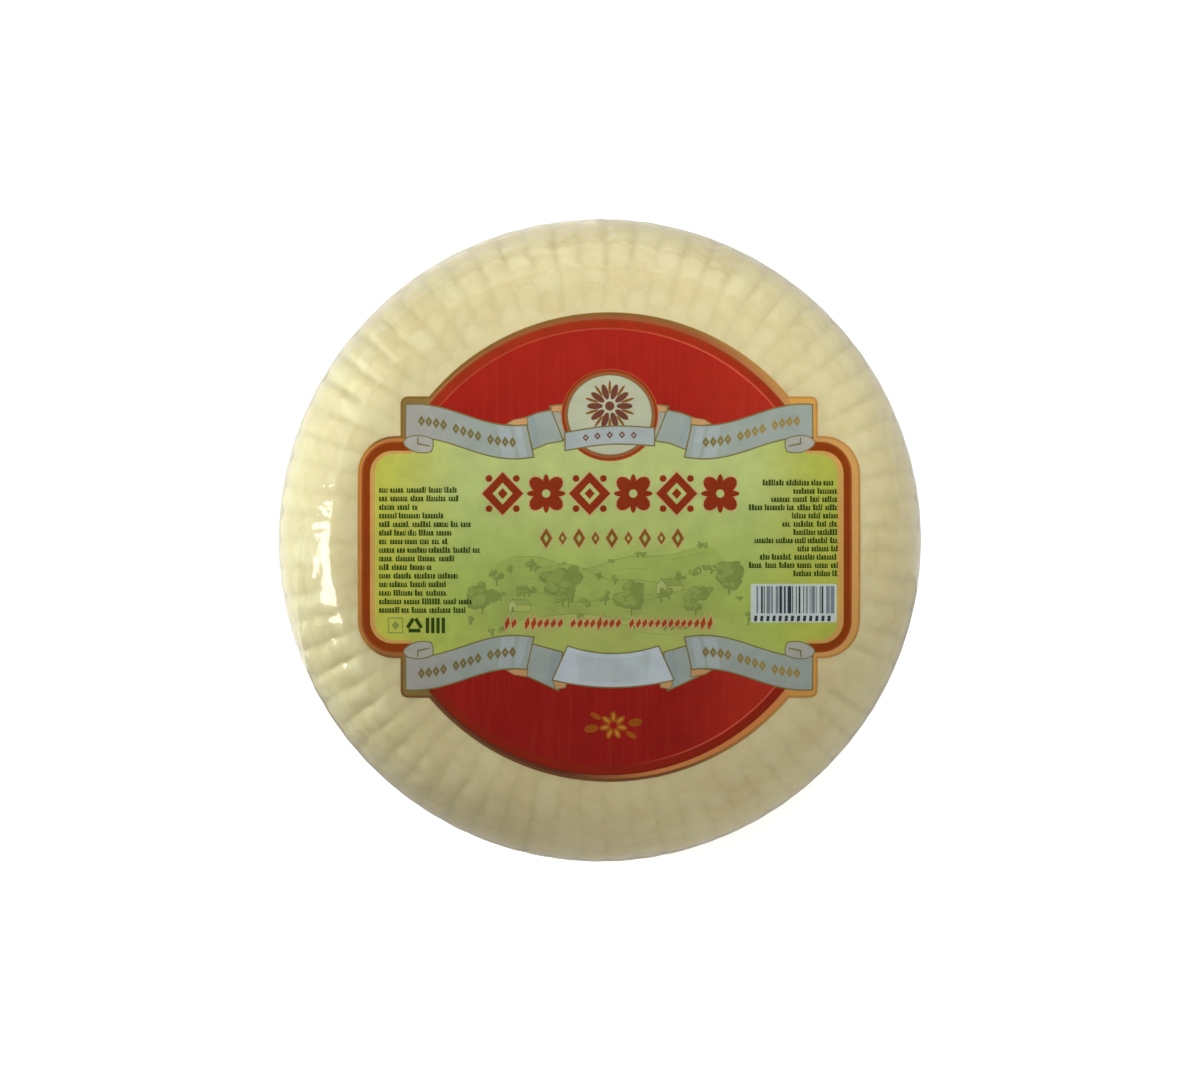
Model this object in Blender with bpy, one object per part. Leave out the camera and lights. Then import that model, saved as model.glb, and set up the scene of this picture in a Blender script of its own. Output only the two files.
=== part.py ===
"""A round wheel of white brined cheese in clear film, with a die-cut label on top.

The wheel was pressed in a fluted basket: its shoulder, wall and foot carry flutes, and each
flute is a column of low lumps. The top is a smooth, slightly domed crown under the label.
Metres, +Z up. The origin is the middle of the base, which is flat.
"""

import math

import bmesh
import bpy
from mathutils.geometry import delaunay_2d_cdt

# The wheel
WHEEL_DIAMETER = 0.240
WHEEL_HEIGHT = 0.082
CROWN_RADIUS = 0.090
CROWN_RISE = 0.0020
SHOULDER_DROP = 0.032
WALL_TAPER = 0.0010
FOOT_WIDTH = 0.012
FOOT_HEIGHT = 0.016

# The basket's marks
FLUTES = 71
FLUTE_DEPTH = 0.0010
LUMP_ROWS = 13
LUMP_DEPTH = 0.0004
TOP_FADE = 0.008
FOOT_FADE = 0.012

# The label: a disc, a wide panel across it and the square ends of its ribbons
LABEL_SHIFT = (0.00345, -0.00245)
DISC_RADIUS = 0.0844
PANEL_HALF = (0.0904, 0.0400)
PANEL_CORNER = 0.0135
RIBBON_HALF = (0.0750, 0.0542)
RIBBON_CORNER = 0.0025
LABEL_THICKNESS = 0.0004
LABEL_GAP = 0.0003

# How finely the shapes are cut
CROWN_RINGS = 3
ARC_STEP = math.radians(6)
PROFILE_STEPS = 60
LABEL_RING_RADII = (0.030, 0.058, 0.078, 0.087, 0.093)
LABEL_RING_SPACING = 0.010
LABEL_EDGE = 0.008

WHEEL_RADIUS = WHEEL_DIAMETER / 2
SHOULDER_WIDTH = WHEEL_RADIUS - CROWN_RADIUS


def clear_scene():
    for obj in list(bpy.data.objects):
        bpy.data.objects.remove(obj, do_unlink=True)


def material(name, colour, roughness, metallic=0.0):
    made = bpy.data.materials.new(name)
    made.use_nodes = True
    shader = made.node_tree.nodes["Principled BSDF"]
    shader.inputs["Base Color"].default_value = (*colour, 1.0)
    shader.inputs["Roughness"].default_value = roughness
    shader.inputs["Metallic"].default_value = metallic
    return made


def object_from(name, mesh_builder, finish):
    """One named object from a bmesh, with faces turned outwards and round parts shaded smooth."""
    bmesh.ops.recalc_face_normals(mesh_builder, faces=mesh_builder.faces)
    mesh = bpy.data.meshes.new(name)
    mesh_builder.to_mesh(mesh)
    mesh_builder.free()
    mesh.materials.append(finish)
    mesh.shade_smooth()
    mesh.set_sharp_from_angle(angle=math.radians(50))
    obj = bpy.data.objects.new(name, mesh)
    bpy.context.scene.collection.objects.link(obj)
    return obj


def smooth_step(value):
    value = min(max(value, 0.0), 1.0)
    return value * value * (3 - 2 * value)


def surface_height(radius):
    """Height of the wheel's upper side: a shallow dome that rolls over at the shoulder."""
    past_crown = max(0.0, radius - CROWN_RADIUS) / SHOULDER_WIDTH
    roll = SHOULDER_DROP * (1 - math.sqrt(max(0.0, 1 - past_crown**2)))
    return WHEEL_HEIGHT - CROWN_RISE * (radius / CROWN_RADIUS) ** 2 - roll


def side_profile():
    """Points (radius, height) from the crown's edge over the shoulder and wall to the base."""
    steps = range(PROFILE_STEPS + 1)
    points = []
    for step in steps:
        radius = CROWN_RADIUS + SHOULDER_WIDTH * math.sin(math.pi / 2 * step / PROFILE_STEPS)
        points.append((radius, surface_height(radius)))
    wall_top = points[-1][1]
    for step in steps[1:]:
        down = step / PROFILE_STEPS
        height = wall_top + (FOOT_HEIGHT - wall_top) * down
        points.append((WHEEL_RADIUS - WALL_TAPER * down**2, height))
    foot_centre = points[-1][0] - FOOT_WIDTH
    for step in steps[1:]:
        angle = math.pi / 2 * step / PROFILE_STEPS
        radius = foot_centre + FOOT_WIDTH * math.cos(angle)
        points.append((radius, FOOT_HEIGHT * (1 - math.sin(angle))))
    return points


def evenly_along(points, count):
    """Points, outward normals and distances at even steps along a profile."""
    lengths = [0.0]
    for (r0, z0), (r1, z1) in zip(points, points[1:]):
        lengths.append(lengths[-1] + math.hypot(r1 - r0, z1 - z0))
    places = []
    part = 0
    for step in range(count + 1):
        along = lengths[-1] * step / count
        while part < len(points) - 2 and lengths[part + 1] < along:
            part += 1
        (r0, z0), (r1, z1) = points[part], points[part + 1]
        span = lengths[part + 1] - lengths[part]
        share = (along - lengths[part]) / span
        point = (r0 + (r1 - r0) * share, z0 + (z1 - z0) * share)
        normal = ((z0 - z1) / span, (r1 - r0) / span)
        places.append((point, normal, along))
    return places, lengths[-1]


def relief_depth(column, ring, along, whole):
    """How far the surface lies under the basket's outer form: grooves, and seams between lumps."""
    if column % 2:
        depth = FLUTE_DEPTH
    elif ring % 2:
        depth = 0.0
    else:
        depth = LUMP_DEPTH
    return depth * smooth_step(along / TOP_FADE) * smooth_step((whole - along) / FOOT_FADE)


def wheel_ring(builder, radius, height, depths=None, normal=(0.0, 1.0)):
    """One ring of vertices, each moved inwards along the profile's normal by its own depth."""
    columns = 2 * FLUTES
    ring = []
    for column in range(columns):
        depth = depths[column] if depths else 0.0
        reach = radius - depth * normal[0]
        angle = 2 * math.pi * column / columns
        place = (reach * math.cos(angle), reach * math.sin(angle), height - depth * normal[1])
        ring.append(builder.verts.new(place))
    return ring


def bridge(builder, upper, lower):
    for column in range(len(upper)):
        after = (column + 1) % len(upper)
        builder.faces.new((upper[column], lower[column], lower[after], upper[after]))


def make_wheel():
    builder = bmesh.new()
    centre = builder.verts.new((0.0, 0.0, surface_height(0.0)))
    rings = []
    for step in range(1, CROWN_RINGS):
        radius = CROWN_RADIUS * step / CROWN_RINGS
        rings.append(wheel_ring(builder, radius, surface_height(radius)))
    places, whole = evenly_along(side_profile(), 2 * LUMP_ROWS)
    for ring, ((radius, height), normal, along) in enumerate(places):
        depths = [relief_depth(column, ring, along, whole) for column in range(2 * FLUTES)]
        rings.append(wheel_ring(builder, radius, height, depths, normal))
    for column in range(len(rings[0])):
        builder.faces.new((centre, rings[0][column], rings[0][(column + 1) % len(rings[0])]))
    for upper, lower in zip(rings, rings[1:]):
        bridge(builder, upper, lower)
    builder.faces.new(rings[-1])
    cheese = material("white_brined_cheese", (0.72, 0.66, 0.42), 0.35)
    return object_from("cheese_wheel", builder, cheese)


def arc(centre, radius, start, end):
    """Points along an arc, both ends included, angles in radians."""
    steps = max(2, math.ceil(abs(end - start) / ARC_STEP))
    points = []
    for step in range(steps + 1):
        angle = start + (end - start) * step / steps
        points.append((centre[0] + radius * math.cos(angle), centre[1] + radius * math.sin(angle)))
    return points


def label_quarter():
    """The label's outline from the panel's right end, counter-clockwise, to the disc's top."""
    (panel_x, panel_y), (ribbon_x, ribbon_y) = PANEL_HALF, RIBBON_HALF
    quarter_turn = math.pi / 2
    panel_centre = (panel_x - PANEL_CORNER, panel_y - PANEL_CORNER)
    ribbon_centre = (ribbon_x - RIBBON_CORNER, ribbon_y - RIBBON_CORNER)
    points = arc(panel_centre, PANEL_CORNER, 0.0, quarter_turn)
    points.append((ribbon_x, panel_y))
    points += arc(ribbon_centre, RIBBON_CORNER, 0.0, quarter_turn)
    points += arc((0.0, 0.0), DISC_RADIUS, math.asin(ribbon_y / DISC_RADIUS), quarter_turn)
    return points


def label_outline():
    """The whole outline, counter-clockwise, from one quarter mirrored across both axes."""
    right = label_quarter()
    upper = right + [(-x, y) for x, y in reversed(right[:-1])]
    return upper + [(-x, -y) for x, y in upper]


def split_long_edges(points):
    """The same closed outline, with more points where an edge has to bend over the wheel."""
    finer = []
    for (x0, y0), (x1, y1) in zip(points, points[1:] + points[:1]):
        pieces = max(1, math.ceil(math.hypot(x1 - x0, y1 - y0) / LABEL_EDGE))
        for piece in range(pieces):
            share = piece / pieces
            finer.append((x0 + (x1 - x0) * share, y0 + (y1 - y0) * share))
    return finer


def label_ring_points():
    """Points on circles round the wheel's axis, closer where the surface begins to roll over."""
    points = [(-LABEL_SHIFT[0], -LABEL_SHIFT[1])]
    for radius in LABEL_RING_RADII:
        count = math.ceil(2 * math.pi * radius / LABEL_RING_SPACING)
        for step in range(count):
            angle = 2 * math.pi * step / count
            x, y = radius * math.cos(angle), radius * math.sin(angle)
            points.append((x - LABEL_SHIFT[0], y - LABEL_SHIFT[1]))
    return points


def on_wheel(x, y):
    """A point of the label's own plane, laid just clear of the wheel's upper side."""
    x, y = x + LABEL_SHIFT[0], y + LABEL_SHIFT[1]
    return (x, y, surface_height(math.hypot(x, y)) + LABEL_GAP)


def make_label():
    outline = split_long_edges(label_outline())
    points = outline + label_ring_points()
    border = list(range(len(outline)))
    corners, _, faces, *_ = delaunay_2d_cdt(points, [], [border], 1, 1e-6)
    builder = bmesh.new()
    verts = [builder.verts.new(on_wheel(*corner)) for corner in corners]
    for face in faces:
        builder.faces.new([verts[index] for index in face])
    spare = [vert for vert in builder.verts if not vert.link_faces]
    bmesh.ops.delete(builder, geom=spare, context="VERTS")
    grown = bmesh.ops.extrude_face_region(builder, geom=builder.faces[:])["geom"]
    raised = [part for part in grown if isinstance(part, bmesh.types.BMVert)]
    bmesh.ops.translate(builder, verts=raised, vec=(0.0, 0.0, LABEL_THICKNESS))
    paper = material("printed_label", (0.35, 0.03, 0.02), 0.4)
    return object_from("label", builder, paper)


def main():
    clear_scene()
    make_wheel()
    make_label()


main()
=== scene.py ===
"""The looks of a wheel of white brined cheese: pressed curd, clear shrink film and a printed label.

It is laid out as a Blender add-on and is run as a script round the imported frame. Metres, +Z up.
"""

import math

import bmesh
import bpy
import numpy as np
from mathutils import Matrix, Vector
from mathutils.geometry import delaunay_2d_cdt


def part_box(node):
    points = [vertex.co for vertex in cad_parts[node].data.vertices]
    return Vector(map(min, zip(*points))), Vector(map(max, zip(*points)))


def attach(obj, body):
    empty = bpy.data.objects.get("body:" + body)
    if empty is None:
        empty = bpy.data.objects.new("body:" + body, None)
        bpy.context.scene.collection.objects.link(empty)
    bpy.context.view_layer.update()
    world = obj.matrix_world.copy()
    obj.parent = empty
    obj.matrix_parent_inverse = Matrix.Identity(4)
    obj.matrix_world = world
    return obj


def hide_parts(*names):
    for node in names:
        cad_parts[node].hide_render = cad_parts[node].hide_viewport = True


bl_info = {
    "name": "Brined Cheese Wheel",
    "version": (1, 0, 0),
    "blender": (4, 5, 0),
    "location": "View3D > Sidebar > Cheese",
    "description": "Makes a basket-pressed cheese wheel in clear film with a printed label",
    "category": "Add Mesh",
}

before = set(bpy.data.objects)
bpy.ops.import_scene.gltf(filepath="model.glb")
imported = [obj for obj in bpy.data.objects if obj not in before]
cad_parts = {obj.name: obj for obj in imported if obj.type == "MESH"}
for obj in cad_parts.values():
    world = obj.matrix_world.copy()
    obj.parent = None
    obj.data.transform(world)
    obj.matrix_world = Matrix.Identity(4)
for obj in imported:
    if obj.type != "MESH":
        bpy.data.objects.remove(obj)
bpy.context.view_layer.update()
WHEEL_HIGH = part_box("cheese_wheel")[1]
LABEL_LOW, LABEL_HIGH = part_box("label")

MM = 0.001
TURN = 2 * math.pi

# The outer form of the wheel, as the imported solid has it
WHEEL_RADIUS = 0.120
WHEEL_HEIGHT = WHEEL_HIGH.z
CROWN_RADIUS = 0.090
CROWN_RISE = 0.0020
SHOULDER_DROP = 0.032
WALL_TAPER = 0.0010
FOOT_WIDTH = 0.012
FOOT_HEIGHT = 0.016
FLUTES = 71
LUMP_ROWS = 13

# Steps of the half outline: on the crown, and on each of its parts past the crown
CROWN_STEPS = 90
PART_STEPS = 160

# The label's middle, and the layers over the outer form on the crown
LABEL_MIDDLE = ((LABEL_LOW.x + LABEL_HIGH.x) / 2, (LABEL_LOW.y + LABEL_HIGH.y) / 2)
LAYERS_RISE = 0.0006
FILM_OVER_LABEL = 0.00015


def linear(colour):
    """An sRGB hex colour as linear red, green and blue."""
    channels = [int(colour[at:at + 2], 16) / 255 for at in (1, 3, 5)]
    return [c / 12.92 if c <= 0.04045 else ((c + 0.055) / 1.055) ** 2.4 for c in channels]


def smooth_step(value):
    value = np.clip(value, 0.0, 1.0)
    return value * value * (3 - 2 * value)


class CheeseSettings(bpy.types.PropertyGroup):
    flute_depth: bpy.props.FloatProperty(
        name="Flute depth", description="Depth of the grooves between flutes",
        default=0.00095, unit="LENGTH")
    lump_depth: bpy.props.FloatProperty(
        name="Lump depth", description="Depth of the seams between the lumps of a flute",
        default=0.00028, unit="LENGTH")
    lump_tilt: bpy.props.FloatProperty(
        name="Lump tilt", description="How far a lump's inner end stands over its outer end",
        default=0.00020, unit="LENGTH")
    lump_lift: bpy.props.FloatProperty(
        name="Lump lift", description="How much some lumps stand over their neighbours",
        default=0.00009, unit="LENGTH")
    swell: bpy.props.FloatProperty(
        name="Swell", description="Height of the slow unevenness of the whole surface",
        default=0.00016, unit="LENGTH")
    curd: bpy.props.FloatVectorProperty(
        name="Curd", description="Main colour of the pressed curd",
        default=linear("#eae2b5"), subtype="COLOR")
    warm_curd: bpy.props.FloatVectorProperty(
        name="Warm curd", description="Colour of the riper patches",
        default=linear("#e3d6a6"), subtype="COLOR")
    cool_curd: bpy.props.FloatVectorProperty(
        name="Cool curd", description="Colour of the freshest, palest lumps",
        default=linear("#efeac4"), subtype="COLOR")
    # Painted shade: this colour darkens the curd in the grooves and seams between lumps, where shade
    # falls
    groove_shade: bpy.props.FloatVectorProperty(
        name="Whey", description="Colour of the damp seams between lumps",
        default=linear("#d0c794"), subtype="COLOR")


class FilmSettings(bpy.types.PropertyGroup):
    gap: bpy.props.FloatProperty(
        name="Gap", description="Room between film and cheese on the side",
        default=0.00033, unit="LENGTH")
    bridging: bpy.props.FloatProperty(
        name="Bridging", description="Share of a groove's depth that the tight film spans",
        default=0.55, min=0.0, max=1.0, subtype="FACTOR")
    tuck_height: bpy.props.FloatProperty(
        name="Tuck height", description="Height of the small tucks in the film",
        default=0.00017, unit="LENGTH")
    gloss: bpy.props.FloatProperty(
        name="Roughness", description="Roughness of the film's outer face",
        default=0.07, min=0.0, max=1.0, subtype="FACTOR")


class LabelSettings(bpy.types.PropertyGroup):
    thickness: bpy.props.FloatProperty(
        name="Thickness", description="Thickness of the printed label",
        default=0.00015, unit="LENGTH")
    red: bpy.props.FloatVectorProperty(
        name="Red", description="Ink of the disc", default=linear("#ae2018"), subtype="COLOR")
    green: bpy.props.FloatVectorProperty(
        name="Green", description="Ink of the panel", default=linear("#b9cc6c"), subtype="COLOR")
    ribbon: bpy.props.FloatVectorProperty(
        name="Ribbon", description="Ink of the ribbons", default=linear("#b1bcb4"),
        subtype="COLOR")


class StageSettings(bpy.types.PropertyGroup):
    camera_height: bpy.props.FloatProperty(
        name="Camera height", description="Height of the camera over the floor",
        default=0.90, unit="LENGTH")
    lens: bpy.props.FloatProperty(
        name="Lens", description="Focal length in millimetres", default=68.45)
    camera_shift: bpy.props.FloatVectorProperty(
        name="Camera place", description="Where the camera stands over the floor",
        size=2, default=(0.00015, 0.00244), subtype="XYZ")


def meridian():
    """The outer form's half outline, from the top's middle to the base's middle, in fine steps.

    Gives the distance along it, the radius, the height and the outward normal at each step."""
    steps = np.linspace(0.0, 1.0, PART_STEPS + 1)[1:]
    shoulder = WHEEL_RADIUS - CROWN_RADIUS
    radii = [np.linspace(0.0, CROWN_RADIUS, CROWN_STEPS + 1)]
    radii.append(CROWN_RADIUS + shoulder * np.sin(math.pi / 2 * steps))
    heights = [top_height(part) for part in radii]
    wall_top = heights[-1][-1]
    radii.append(WHEEL_RADIUS - WALL_TAPER * steps**2)
    heights.append(wall_top + (FOOT_HEIGHT - wall_top) * steps)
    foot_middle = WHEEL_RADIUS - WALL_TAPER - FOOT_WIDTH
    radii.append(foot_middle + FOOT_WIDTH * np.cos(math.pi / 2 * steps))
    heights.append(FOOT_HEIGHT * (1 - np.sin(math.pi / 2 * steps)))
    radii.append(foot_middle * (1 - steps))
    heights.append(np.zeros(len(steps)))
    radius, height = np.concatenate(radii), np.concatenate(heights)
    along = np.concatenate([[0.0], np.cumsum(np.hypot(np.diff(radius), np.diff(height)))])
    slope_r, slope_z = np.gradient(radius, along), np.gradient(height, along)
    length = np.hypot(slope_r, slope_z)
    return along, radius, height, -slope_z / length, slope_r / length


def top_height(radius):
    """Height of the outer form's upper side at a distance from the axis."""
    past_crown = np.clip((radius - CROWN_RADIUS) / (WHEEL_RADIUS - CROWN_RADIUS), 0.0, 1.0)
    roll = SHOULDER_DROP * (1 - np.sqrt(1 - past_crown**2))
    return WHEEL_HEIGHT - CROWN_RISE * (radius / CROWN_RADIUS) ** 2 - roll


ALONG, RADIUS, HEIGHT, NORMAL_R, NORMAL_Z = meridian()
CROWN_END = float(ALONG[CROWN_STEPS])
EQUATOR = float(ALONG[CROWN_STEPS + PART_STEPS])
FOOT_END = float(ALONG[CROWN_STEPS + 3 * PART_STEPS])
LUMP_PITCH = (FOOT_END - CROWN_END) / LUMP_ROWS

# Past this the film is clear of the label's corners
LABEL_CLEAR = CROWN_END + 0.0070

# Angles of a skin's columns of points, ten to a flute
COLUMNS = np.arange(FLUTES * 10) / (FLUTES * 10) * TURN


def layers_rise(along):
    """How far the film stands over the outer form: all of it on the crown, none at the wall."""
    return LAYERS_RISE * (1 - smooth_step((along - CROWN_END) / (EQUATOR - CROWN_END)))


def surface(theta, along, inset):
    """Points of a skin that lies inset under the film's smooth form, as rows of x, y, z."""
    rise = layers_rise(along) - inset
    radius = np.interp(along, ALONG, RADIUS) + np.interp(along, ALONG, NORMAL_R) * rise
    height = np.interp(along, ALONG, HEIGHT) + np.interp(along, ALONG, NORMAL_Z) * rise
    return np.stack([radius * np.cos(theta), radius * np.sin(theta), height], axis=-1)


def unevenness(points, size, seed, waves=14):
    """A smooth random field over points, about -1 to 1, whose bumps are about size across."""
    draw = np.random.default_rng(seed)
    ways = draw.normal(size=(waves, 3))
    ways *= (math.pi / size) * draw.uniform(0.6, 1.4, (waves, 1)) / np.linalg.norm(
        ways, axis=1, keepdims=True)
    phases = draw.uniform(0.0, TURN, waves)
    return np.sin(points @ ways.T + phases).sum(axis=-1) / math.sqrt(waves)


def basket_marks(theta, along, seed=5):
    """The basket's marks, which wander a little as in soft curd. Gives the grooves' and the lump
    seams' shares of full depth, how far each point stands from its lump's middle towards its
    outer end, how high the lump stands there, and the lump's own tone."""
    draw = np.random.default_rng(seed)
    lumps = (FLUTES, LUMP_ROWS + 4)
    stagger = 0.5 * (np.arange(FLUTES) % 2) + draw.uniform(-0.16, 0.16, FLUTES)
    strength = draw.uniform(0.3, 1.3, lumps)
    slant = draw.uniform(-0.28, 0.28, lumps)
    nudge = draw.uniform(-0.14, 0.14, lumps)
    lift = draw.uniform(-1.0, 1.0, lumps)
    lean = draw.uniform(-1.0, 1.0, lumps)
    tones = draw.uniform(-1.0, 1.0, lumps)
    smooth = surface(theta, along, 0.0)
    turns = theta / TURN * FLUTES + 0.045 * unevenness(smooth, 0.008, seed + 1)
    column = np.round(turns).astype(int) % FLUTES
    across = 2 * (turns - np.round(turns))
    grip = np.clip(0.90 + 0.30 * unevenness(smooth, 0.0085, seed + 2), 0.3, 1.25)
    round_mark = np.stack([0.11 * np.cos(theta), 0.11 * np.sin(theta), 0.2 * along], axis=-1)
    streak = 0.5 + 0.5 * unevenness(round_mark, 0.0026, seed + 4)
    groove = grip * np.abs(across) ** 2.2 + 0.20 * np.clip(streak, 0.0, 1.0)
    along = along + 0.0010 * unevenness(smooth, 0.011, seed + 3)
    place = (along - CROWN_END) / LUMP_PITCH + 2 + stagger[column] - 0.20 * (1 - across**2)
    row = np.clip(np.floor(place).astype(int), 0, LUMP_ROWS + 2)
    place = place + nudge[column, row] + slant[column, row] * across
    row = np.clip(np.floor(place).astype(int), 0, LUMP_ROWS + 2)
    within = 2 * (place - row) - 1
    seam = strength[column, row] * np.abs(within) ** 2.6
    dome = lift[column, row] * (1 - across**2) * (1 - within**2)
    dome += 1.2 * lean[column, row] * across * (1 - across**2) * (1 - within**4)
    return groove, seam, within * (1 - across**2), dome, tones[column, row]


def marks_fade(along, start, over):
    """Share of full relief: none on the crown and at the base, all on the shoulder and wall."""
    foot = smooth_step((FOOT_END - 0.001 - along) / 0.012)
    return smooth_step((along - start) / over) * foot


def grip_round(theta, along):
    """Share of the relief round the wheel: on the shoulder it is least at the lower right."""
    weak = 0.42 * (0.5 - 0.5 * np.cos(theta - math.radians(150)))
    shoulder = 1 - smooth_step((along - EQUATOR + 0.014) / 0.014)
    return 1 - weak * shoulder


def skin(name, rings, points_at):
    """A closed mesh round the axis. points_at gives points for angles and distances along."""
    columns = len(COLUMNS)
    grid = points_at(*np.meshgrid(COLUMNS, rings))
    poles = points_at(np.zeros((1, 2)), np.array([[0.0, ALONG[-1]]]))[0]
    poles[:, :2] = 0.0
    points = np.concatenate([grid.reshape(-1, 3), poles])
    here = np.arange(columns)
    after = np.roll(here, -1)
    starts = np.arange(len(rings) - 1)[:, None] * columns
    quads = np.stack([starts + here, starts + columns + here,
                      starts + columns + after, starts + after], axis=-1).reshape(-1, 4)
    top, base = len(points) - 2, len(points) - 1
    last = (len(rings) - 1) * columns
    fans = [(top, a, b) for a, b in zip(here, after)]
    fans += [(base, last + b, last + a) for a, b in zip(here, after)]
    mesh = bpy.data.meshes.new(name)
    mesh.from_pydata(points.tolist(), [], quads.tolist() + [tuple(map(int, f)) for f in fans])
    mesh.validate()
    mesh.shade_smooth()
    return linked(name, mesh)


def linked(name, data):
    obj = bpy.data.objects.new(name, data)
    bpy.context.scene.collection.objects.link(obj)
    return obj


def side_rings(crown_step, side_step, fine_from):
    """Distances along the meridian: coarse on the crown and base, fine over the marked side."""
    crown = np.linspace(crown_step, fine_from, max(2, round(fine_from / crown_step)))
    side_count = round((FOOT_END - fine_from) / side_step)
    side = np.linspace(fine_from, FOOT_END, side_count + 1)[1:]
    base = np.linspace(FOOT_END, ALONG[-1] - 0.02, 5)[1:]
    return np.concatenate([crown, side, base])


def cheese_points(settings, gap):
    """Gives the function that places the pressed curd's points."""

    def place(theta, along):
        groove, seam, tilt, dome, _ = basket_marks(theta, along)
        pressed = grip_round(theta, along)
        inner = marks_fade(along, CROWN_END - 0.008, 0.004)
        grooved = pressed * (0.4 * inner + 0.6 * marks_fade(along, CROWN_END - 0.002, 0.010))
        lumpy = pressed * (0.5 * inner + 0.5 * marks_fade(along, CROWN_END - 0.001, 0.006))
        smooth = surface(theta, along, gap)
        depth = settings.flute_depth * groove * grooved
        depth += settings.lump_depth * seam * lumpy
        depth += settings.lump_tilt * (0.5 + 0.5 * tilt) * lumpy
        depth += settings.lump_lift * (1 - dome) * lumpy
        depth += settings.swell * (1 + unevenness(smooth, 0.030, seed=11)) * grooved
        return surface(theta, along, gap + depth)

    return place


def film_points(cheese, film):
    """Gives the function that places the tight film's points over the cheese and the label.

    The film spans the grooves where it is tight and sinks into them where it is slack. Over
    the label's corners it has to stay nearly smooth."""

    def place(theta, along):
        groove, seam, tilt, dome, _ = basket_marks(theta, along)
        inner = marks_fade(along, CROWN_END - 0.002, 0.006)
        side = 0.2 * inner + 0.8 * marks_fade(along, LABEL_CLEAR, 0.006)
        side = side * grip_round(theta, along)
        smooth = surface(theta, along, 0.0)
        slack = 0.5 + 0.5 * np.clip(unevenness(smooth, 0.026, seed=31), -1.0, 1.0)
        share = (1 - film.bridging) * (0.5 + slack)
        depth = cheese.flute_depth * share * groove
        depth += cheese.lump_depth * share * seam
        depth += cheese.lump_tilt * 0.6 * (0.5 + 0.5 * tilt)
        depth += cheese.lump_lift * (1 - dome)
        depth += film.tuck_height * (0.5 + 0.5 * unevenness(smooth, 0.0034, seed=39))
        depth += 0.00004 * (1 + unevenness(smooth, 0.013, seed=43))
        tight = 1 - 0.70 * smooth_step((along - EQUATOR + 0.016) / 0.012)
        depth = np.maximum(depth, 0.0) * side * tight
        clear = 0.003 * smooth_step((along - LABEL_CLEAR) / 0.003)
        return surface(theta, along, np.minimum(depth, 0.85 * FILM_OVER_LABEL + clear))

    return place


def node(tree, kind, sockets=None, **settings):
    """Adds a shader node with its settings. A socket gets a value, or a link from another."""
    made = tree.nodes.new(kind)
    for name, value in settings.items():
        setattr(made, name, value)
    for name, value in (sockets or {}).items():
        socket = made.inputs[name]
        if isinstance(value, bpy.types.NodeSocket):
            tree.links.new(value, socket)
        else:
            socket.default_value = (*value, 1.0) if socket.type == "RGBA" else value
    return made


def new_material(name):
    """A node material, its tree and the socket of the place on the object in metres."""
    made = bpy.data.materials.new(name)
    made.use_nodes = True
    tree = made.node_tree
    tree.nodes.clear()
    return made, tree, node(tree, "ShaderNodeTexCoord").outputs["Object"]


# Sockets of a colour Mix node, which go by number because several share a name
FACTOR, FIRST, SECOND, RESULT = 0, 6, 7, 2


def blended(tree, colour, steps, curve="LINEAR"):
    """Blends a colour into others, one after another. A step has the socket that it goes by, the
    values there for none and for most, the most, and the other colour or its socket."""
    for source, start, end, most, other in steps:
        share = node(tree, "ShaderNodeMapRange", {
            "Value": source, "From Min": start, "From Max": end, "To Max": most},
            interpolation_type=curve)
        colour = node(tree, "ShaderNodeMix", {
            FACTOR: share.outputs["Result"], FIRST: colour, SECOND: other},
            data_type="RGBA").outputs[RESULT]
    return colour


def pressed_curd(settings):
    """White brined cheese, drained and pressed in a basket.

    To the eye it is matt, slightly see-through curd: light spreads a millimetre or two under
    the surface and riper patches are warmer. The grooves and the seams between lumps are
    darkened with painted shade."""
    made, tree, place = new_material("pressed_brined_curd")
    patches = node(tree, "ShaderNodeTexNoise", {
        "Vector": place, "Scale": 1 / 0.022, "Detail": 2.0, "Roughness": 0.55}).outputs["Fac"]
    grain = node(tree, "ShaderNodeTexNoise", {
        "Vector": place, "Scale": 1 / 0.0035, "Detail": 2.0, "Roughness": 0.6}).outputs["Fac"]
    crumb = node(tree, "ShaderNodeTexNoise", {
        "Vector": place, "Scale": 1 / 0.0016, "Detail": 1.5, "Roughness": 0.65}).outputs["Fac"]
    tone = node(tree, "ShaderNodeAttribute", attribute_name="tone").outputs["Fac"]
    # The cavity share lays painted shade into the curd's colour in its grooves and seams
    cavity = node(tree, "ShaderNodeAttribute", attribute_name="cavity").outputs["Fac"]
    colour = blended(tree, settings.curd, (
        (patches, 0.40, 0.66, 0.7, settings.warm_curd),
        (tone, 0.5, 1.0, 0.5, settings.warm_curd),
        (tone, 0.5, 0.0, 0.5, settings.cool_curd),
        (grain, 0.35, 0.70, 0.35, linear("#f1e9c9")),
        (cavity, 0.12, 1.0, 0.38, settings.groove_shade)))
    bump = node(tree, "ShaderNodeBump", {"Height": crumb, "Strength": 0.30, "Distance": 0.0003})
    shader = node(tree, "ShaderNodeBsdfPrincipled", {
        "Base Color": colour, "Normal": bump.outputs["Normal"], "Roughness": 0.55, "IOR": 1.45,
        "Specular IOR Level": 0.15, "Subsurface Weight": 0.20, "Subsurface Scale": 0.0012,
        "Subsurface Radius": (1.0, 0.75, 0.45)})
    node(tree, "ShaderNodeOutputMaterial", {"Surface": shader.outputs["BSDF"]})
    return made


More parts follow.
